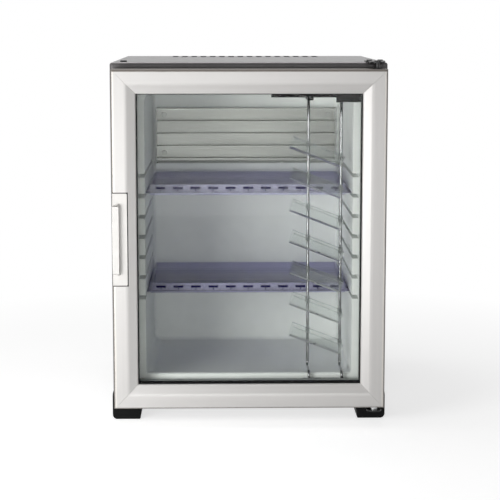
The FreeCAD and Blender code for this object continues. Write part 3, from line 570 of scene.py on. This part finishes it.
class Build:
    """Points and faces of one mesh while it is put together."""

    def __init__(self):
        self.points = []
        self.faces = []

    def strip(self, first, second, closed=False):
        """A row of faces between two lines of points."""
        start = len(self.points)
        count = len(first)
        self.points += list(first) + list(second)
        last = count if closed else count - 1
        for step in range(last):
            after = (step + 1) % count
            self.faces.append((start + step, start + after, start + count + after, start + count + step))

    def fan(self, outline):
        """One face that fills an outline."""
        start = len(self.points)
        self.points += list(outline)
        self.faces.append(tuple(range(start, start + len(outline))))


def ring(centre, radius, first, second, steps, turn=math.tau):
    """Points on a circle, or on part of one, in the plane of two directions."""
    angles = [turn * step / steps for step in range(steps if turn == math.tau else steps + 1)]
    return [centre + first * (math.cos(a) * radius) + second * (math.sin(a) * radius) for a in angles]


def cradle(number):
    node = "bottle_cradle_" + str(number)
    rods = [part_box("rack_rod_left"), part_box("rack_rod_right")]
    rod_x = [(low[0] + high[0]) / 2 for low, high in rods]
    rod_y = rods[0][1][1] - rod_radius
    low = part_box(node)[0]
    rise = cradle_length / 2 * math.sin(cradle_tilt) + cradle_outer_radius * math.cos(cradle_tilt)
    middle = Vector(((rod_x[0] + rod_x[1]) / 2 - cradle_shift, rod_y - cradle_setback, low[2] + rise))
    along = Vector((math.cos(cradle_tilt), 0, -math.sin(cradle_tilt)))
    down = Vector((-math.sin(cradle_tilt), 0, -math.cos(cradle_tilt)))
    across = Vector((0, 1, 0))
    build = Build()
    ends = [middle - along * (cradle_length / 2), middle + along * (cradle_length / 2)]
    arcs = [ring(end, cradle_radius, across, down, cradle_steps, math.pi) for end in ends]
    build.strip(arcs[0], arcs[1])
    build.fan(arcs[1])
    for side in (-1, 1):
        reach = across * (side * cradle_radius)
        beads = [ring(end + reach, rim_bead, across, down, bead_steps) for end in ends]
        build.strip(beads[0], beads[1], closed=True)
    for x in rod_x:
        rim = middle.z - (x - middle.x) * math.tan(cradle_tilt)
        heights = (rim - clip_below, rim + clip_above)
        centres = [Vector((x, rod_y, z)) for z in heights]
        hoops = [ring(centre, clip_radius, Vector((1, 0, 0)), across, hoop_steps) for centre in centres]
        build.strip(hoops[0], hoops[1], closed=True)
        web_ends = (middle.y + cradle_radius, rod_y - clip_radius)
        web = [[Vector((x, y, z)) for y in web_ends] for z in heights]
        build.strip(web[0], web[1])
    finish = nodes[node].data.materials[0]
    piece = mesh_piece(node + "_trough", build.points, build.faces, finish, "door")
    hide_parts(node)


for number in range(1, cradle_count + 1):
    cradle(number)


# Floor: white to the camera and in reflections, with the object's shadow on it
floor_size = 12.0
floor_grain = 3
floor_lift = 0.68
shadow_start = 0.35
shadow_end = 0.95


def studio_floor():
    bpy.ops.mesh.primitive_plane_add(size=floor_size)
    floor = bpy.context.object
    floor.name = "studio_floor"
    material, tree, output = shader_tree("studio_floor")
    matt = add(tree, "BsdfDiffuse")
    paper = ramp(tree, noise(tree, floor_grain), tone(228, 228, 228), tone(232, 232, 232))
    link(tree, paper, matt.inputs["Color"])
    glow = add(tree, "Emission", Color=(1, 1, 1, 1), Strength=floor_lift)
    lifted = add(tree, "AddShader")
    white = add(tree, "Emission", Color=(1, 1, 1, 1), Strength=1.0)
    place = add(tree, "TexCoord")
    distance = add(tree, "VectorMath")
    distance.operation = "LENGTH"
    far = add(tree, "MapRange", From_Min=shadow_start, From_Max=shadow_end)
    shadowed = add(tree, "MixShader")
    seen = add(tree, "LightPath")
    mix = add(tree, "MixShader")
    link(tree, matt.outputs["BSDF"], lifted.inputs[0])
    link(tree, glow.outputs["Emission"], lifted.inputs[1])
    link(tree, place.outputs["Object"], distance.inputs[0])
    link(tree, distance.outputs["Value"], far.inputs["Value"])
    link(tree, far.outputs["Result"], shadowed.inputs["Fac"])
    link(tree, lifted.outputs["Shader"], shadowed.inputs[1])
    link(tree, white.outputs["Emission"], shadowed.inputs[2])
    link(tree, background_rays(tree, seen), mix.inputs["Fac"])
    link(tree, matt.outputs["BSDF"], mix.inputs[1])
    link(tree, shadowed.outputs["Shader"], mix.inputs[2])
    link(tree, mix.outputs["Shader"], output.inputs["Surface"])
    floor.data.materials.append(material)


def background_rays(tree, seen):
    """One for camera, glossy and transmission rays, zero for the rays that light the object."""
    total = seen.outputs["Is Camera Ray"]
    for name in ("Is Glossy Ray", "Is Transmission Ray"):
        total = larger(tree, total, seen.outputs[name])
    return total


studio_floor()


# World: white behind the object, a softer level for the light that it gives
world_light = 0.09


def studio_world():
    world = bpy.data.worlds.new("studio_world")
    world.use_nodes = True
    tree = world.node_tree
    tree.nodes.clear()
    output = tree.nodes.new("ShaderNodeOutputWorld")
    backdrop = add(tree, "Background", Color=(1, 1, 1, 1), Strength=1.0)
    light = add(tree, "Background", Color=(1, 1, 1, 1), Strength=world_light)
    seen = add(tree, "LightPath")
    mix = add(tree, "MixShader")
    link(tree, background_rays(tree, seen), mix.inputs["Fac"])
    link(tree, light.outputs["Background"], mix.inputs[1])
    link(tree, backdrop.outputs["Background"], mix.inputs[2])
    link(tree, mix.outputs["Shader"], output.inputs["Surface"])
    bpy.context.scene.world = world


studio_world()


# Soft boxes: a key on the left, a fill in front and a large one above. Powers are in watts
fridge_middle = (0, 0, 0.27)
key_place = (-0.62, -0.85, 0.26)
key_size = 0.5
key_power = 6.8
front_place = (0, -2.6, 0.18)
front_size = 0.8
front_power = 11
top_place = (-0.3, 0.3, 2.1)
top_size = 1.6
top_power = 9


def soft_box(name, place, size, power):
    """A square lamp that looks at the middle of the fridge and that the camera doesn't see."""
    lamp = bpy.data.lights.new(name, "AREA")
    lamp.shape = "SQUARE"
    lamp.size = size
    lamp.energy = power
    box = bpy.data.objects.new(name, lamp)
    box.location = place
    box.visible_camera = False
    box.rotation_euler = (Vector(fridge_middle) - Vector(place)).to_track_quat("-Z", "Y").to_euler()
    bpy.context.scene.collection.objects.link(box)


soft_box("key_light", key_place, key_size, key_power)
soft_box("front_light", front_place, front_size, front_power)
soft_box("top_light", top_place, top_size, top_power)


# Camera at the photograph's viewing angle. The lens and the sensor are in the camera's millimetres
camera_place = (-0.0407, -2.3626, 0.5918)
camera_pitch = math.radians(7.759)
camera_yaw = math.radians(-1.105)
camera_lens = 108.08
camera_sensor = 36
camera_shift = -0.05


def studio_camera():
    data = bpy.data.cameras.new("camera")
    data.sensor_width = camera_sensor
    data.lens = camera_lens
    data.shift_y = camera_shift
    camera = bpy.data.objects.new("camera", data)
    camera.location = camera_place
    camera.rotation_euler = (math.radians(90) - camera_pitch, 0, camera_yaw)
    bpy.context.scene.collection.objects.link(camera)
    bpy.context.scene.camera = camera


studio_camera()
bpy.context.scene.view_settings.view_transform = "Standard"
